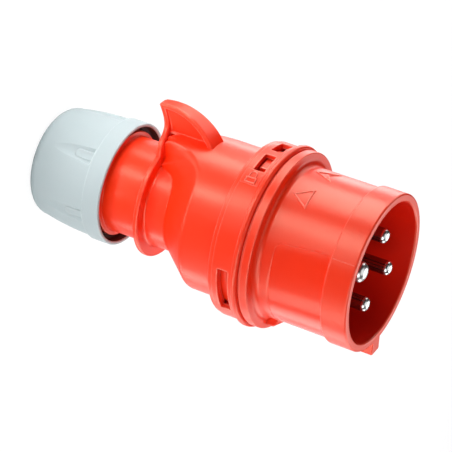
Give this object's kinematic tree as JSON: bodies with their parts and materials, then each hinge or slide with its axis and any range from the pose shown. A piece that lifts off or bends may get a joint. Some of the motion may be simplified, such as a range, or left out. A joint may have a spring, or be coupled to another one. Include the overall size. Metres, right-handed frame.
{
  "type": "industrial pin and sleeve plug",
  "caption": "Industrial pin and sleeve plug: round shroud with key rib round bare pins, gripped housing with a thumb fin, and a screwed cable gland nut.",
  "frame": {"origin": "on the plug's axis, in the plane of the gland nut's flat end, where the cord goes in", "axes": "+Z along the axis from the cord's end to the pins; the earth pin stands towards -Y and the phase pins towards -X, +Y and +X"},
  "size_m": [0.0663, 0.0638, 0.128],
  "materials": {
    "red_housing": "satin red nylon",
    "red_shroud": "satin red nylon",
    "nut_plastic": "pale blue grey nylon, fine grain",
    "insert_plastic": "dark grey nylon",
    "pin_metal": "nickel plated brass, turned",
    "screw_steel": "zinc plated steel",
    "leaf_metal": "plain brass strip",
    "seal_rubber": "black rubber",
    "gland_plastic": "natural nylon"
  },
  "bodies": {
    "housing": {"rear_housing": "red_housing", "joint_seal": "seal_rubber", "clamp_cage": "gland_plastic", "cable_seal": "seal_rubber"},
    "front": {"shroud": "red_shroud", "contact_carrier": "insert_plastic", "face_plate": "insert_plastic", "plate_screw_a": "screw_steel", "plate_screw_b": "screw_steel", "pin_l1": "pin_metal", "terminal_screw_l1": "screw_steel", "wire_leaf_l1": "leaf_metal", "pin_l2": "pin_metal", "terminal_screw_l2": "screw_steel", "wire_leaf_l2": "leaf_metal", "pin_l3": "pin_metal", "terminal_screw_l3": "screw_steel", "wire_leaf_l3": "leaf_metal", "pin_earth": "pin_metal", "terminal_screw_earth": "screw_steel", "wire_leaf_earth": "leaf_metal"},
    "ring": {"pressure_ring": "gland_plastic"},
    "nut": {"gland_nut": "nut_plastic"}
  },
  "joints": [
    {"name": "bayonet_turn", "type": "hinge", "parent": "housing", "child": "front", "pos_m": [0, 0, 0.0842], "axis": [0, 0, 1], "range_deg": [0, 30]},
    {"name": "gland_travel", "type": "slide", "parent": "housing", "child": "ring", "axis": [0, 0, -1], "range_m": [0, 0.0075]},
    {"name": "gland_turn", "type": "hinge", "parent": "ring", "child": "nut", "pos_m": [0, 0, 0.015], "axis": [0, 0, -1], "range_deg": [0, 1080]}
  ],
  "couplings": [
    {"joint": "gland_travel", "follows": "gland_turn", "m_per_rad": 0.00039788}
  ]
}
